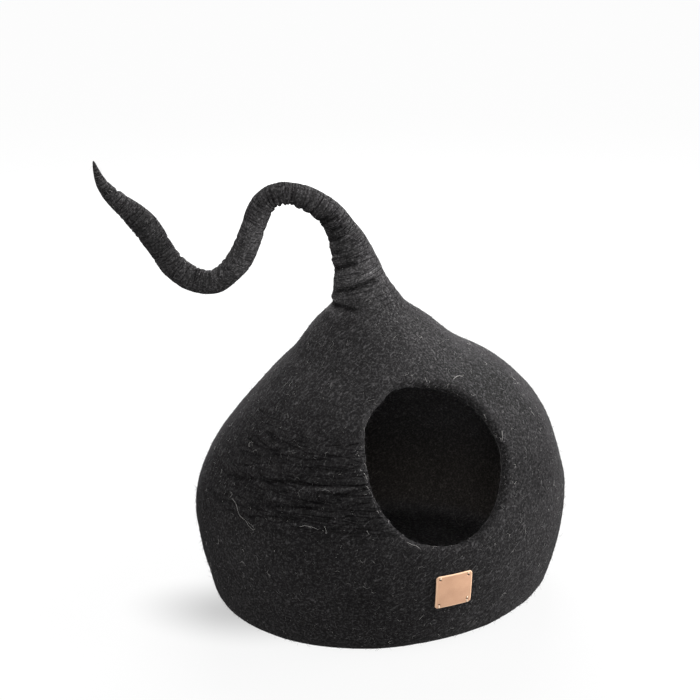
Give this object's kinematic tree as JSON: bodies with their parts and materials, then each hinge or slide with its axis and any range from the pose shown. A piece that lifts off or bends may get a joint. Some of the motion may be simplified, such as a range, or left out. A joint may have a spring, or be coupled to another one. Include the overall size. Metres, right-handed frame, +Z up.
{
  "type": "felt cat cave",
  "caption": "Onion-shaped hollow pet cave of thick wool felt with a round doorway, a long curled tail on top and a small leather tag.",
  "frame": {"origin": "middle of the flat base, on the surface that the cave stands on", "axes": "+Z up, the doorway faces -Y, the tail reaches towards -X and a little towards +Y"},
  "size_m": [0.5409, 0.4165, 0.5349],
  "materials": {
    "felt": "matt fuzzy wet-felted wool, near black, with scattered pale hairs",
    "leather": "smooth natural tan leather, cut edges slightly paler"
  },
  "bodies": {
    "root": {"felt_shell": "felt", "leather_tag": "leather"}
  },
  "joints": []
}
